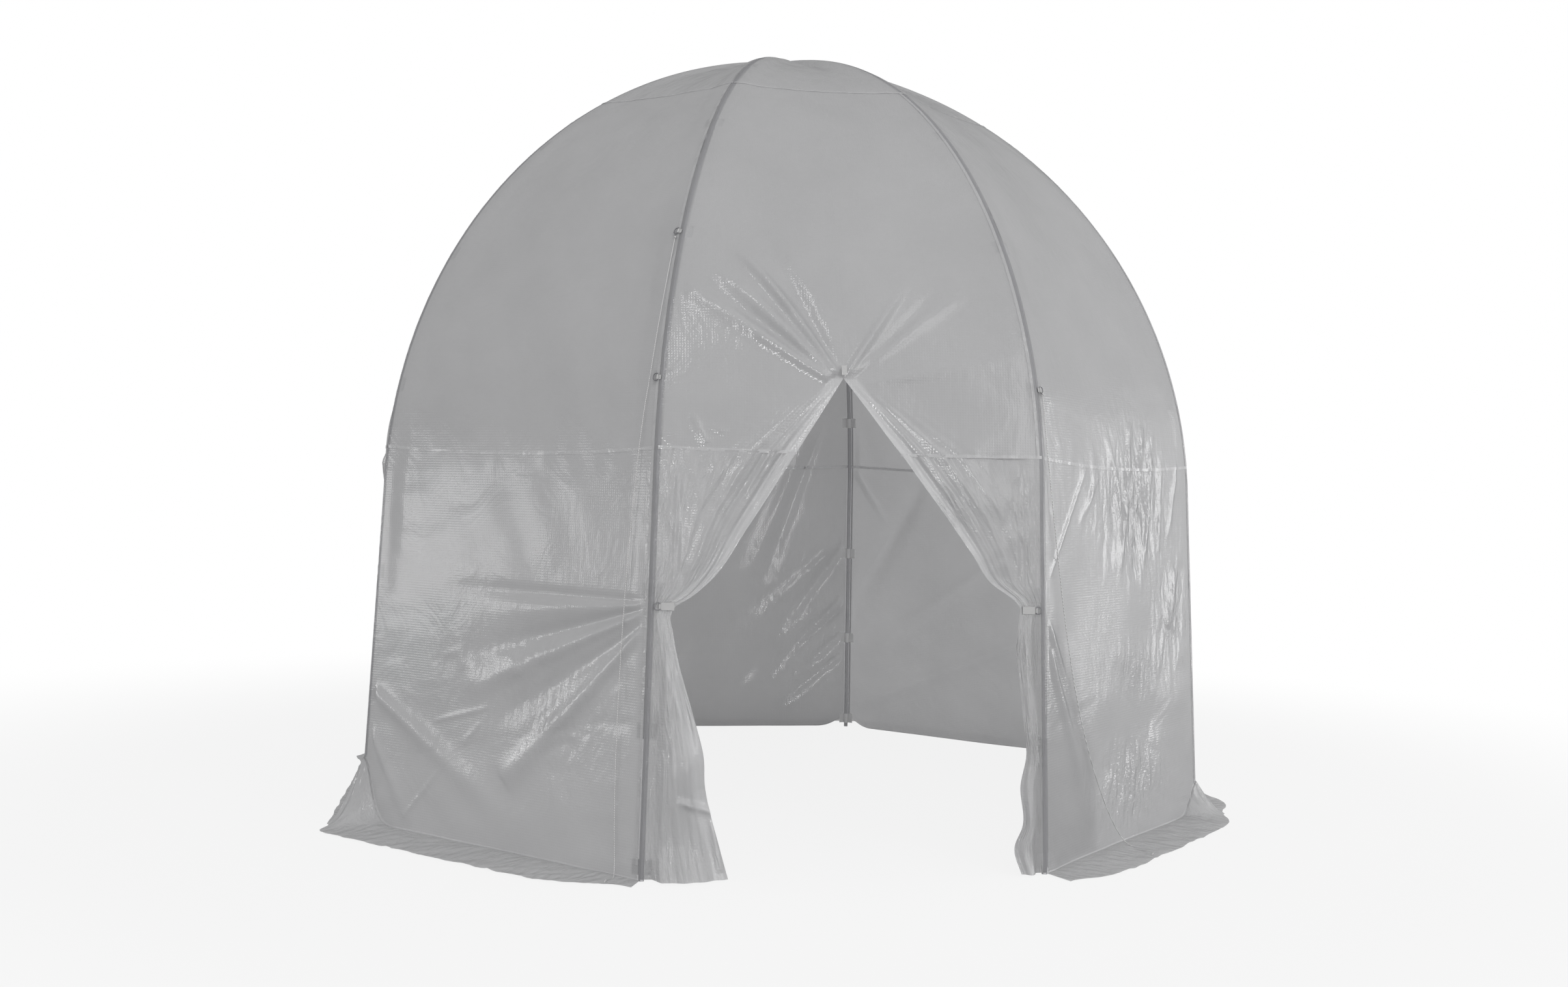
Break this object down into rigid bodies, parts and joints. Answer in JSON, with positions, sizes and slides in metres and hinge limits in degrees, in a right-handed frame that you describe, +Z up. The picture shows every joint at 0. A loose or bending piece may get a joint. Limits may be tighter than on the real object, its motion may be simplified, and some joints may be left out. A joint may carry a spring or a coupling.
{
  "type": "dome film greenhouse",
  "caption": "Walk-in dome greenhouse of bent tubes under a translucent film cover, octagonal in plan, with a slit door tied open and a ground skirt.",
  "frame": {"origin": "centre of the octagon on the ground, under the hub", "axes": "+Z up, -Y towards the door, +X to the right seen from outside the door"},
  "size_m": [3.6996, 3.6995, 3.1083],
  "materials": {
    "film": "translucent grid-reinforced film",
    "tube": "powder coated",
    "plastic": "moulded",
    "webbing": "woven webbing",
    "ring": "satin",
    "cord": "braided"
  },
  "bodies": {
    "root": {"pole_front_left": "tube", "pole_front_right": "tube", "pole_right_front": "tube", "pole_right_back": "tube", "pole_back_right": "tube", "pole_back_left": "tube", "pole_left_back": "tube", "pole_left_front": "tube", "hub": "plastic", "roof_panel_front": "film", "roof_panel_front_right": "film", "roof_panel_right": "film", "roof_panel_back_right": "film", "roof_panel_back": "film", "roof_panel_back_left": "film", "roof_panel_left": "film", "roof_panel_front_left": "film", "wall_panel_front_right": "film", "wall_panel_right": "film", "wall_panel_back_right": "film", "wall_panel_back": "film", "wall_panel_back_left": "film", "wall_panel_left": "film", "wall_panel_front_left": "film", "crown_panel": "film", "door_flap_left": "film", "door_flap_right": "film", "straps_front_left": "webbing", "straps_front_right": "webbing", "straps_right_front": "webbing", "straps_right_back": "webbing", "straps_back_right": "webbing", "straps_back_left": "webbing", "straps_left_back": "webbing", "straps_left_front": "webbing", "guy_rings": "ring", "guy_ring_loops": "webbing", "tie_band_left": "webbing", "tie_ring_left": "ring", "tie_band_right": "webbing", "tie_ring_right": "ring", "slit_patch": "webbing", "guy_cord_left": "cord", "guy_cord_right": "cord"}
  },
  "joints": []
}
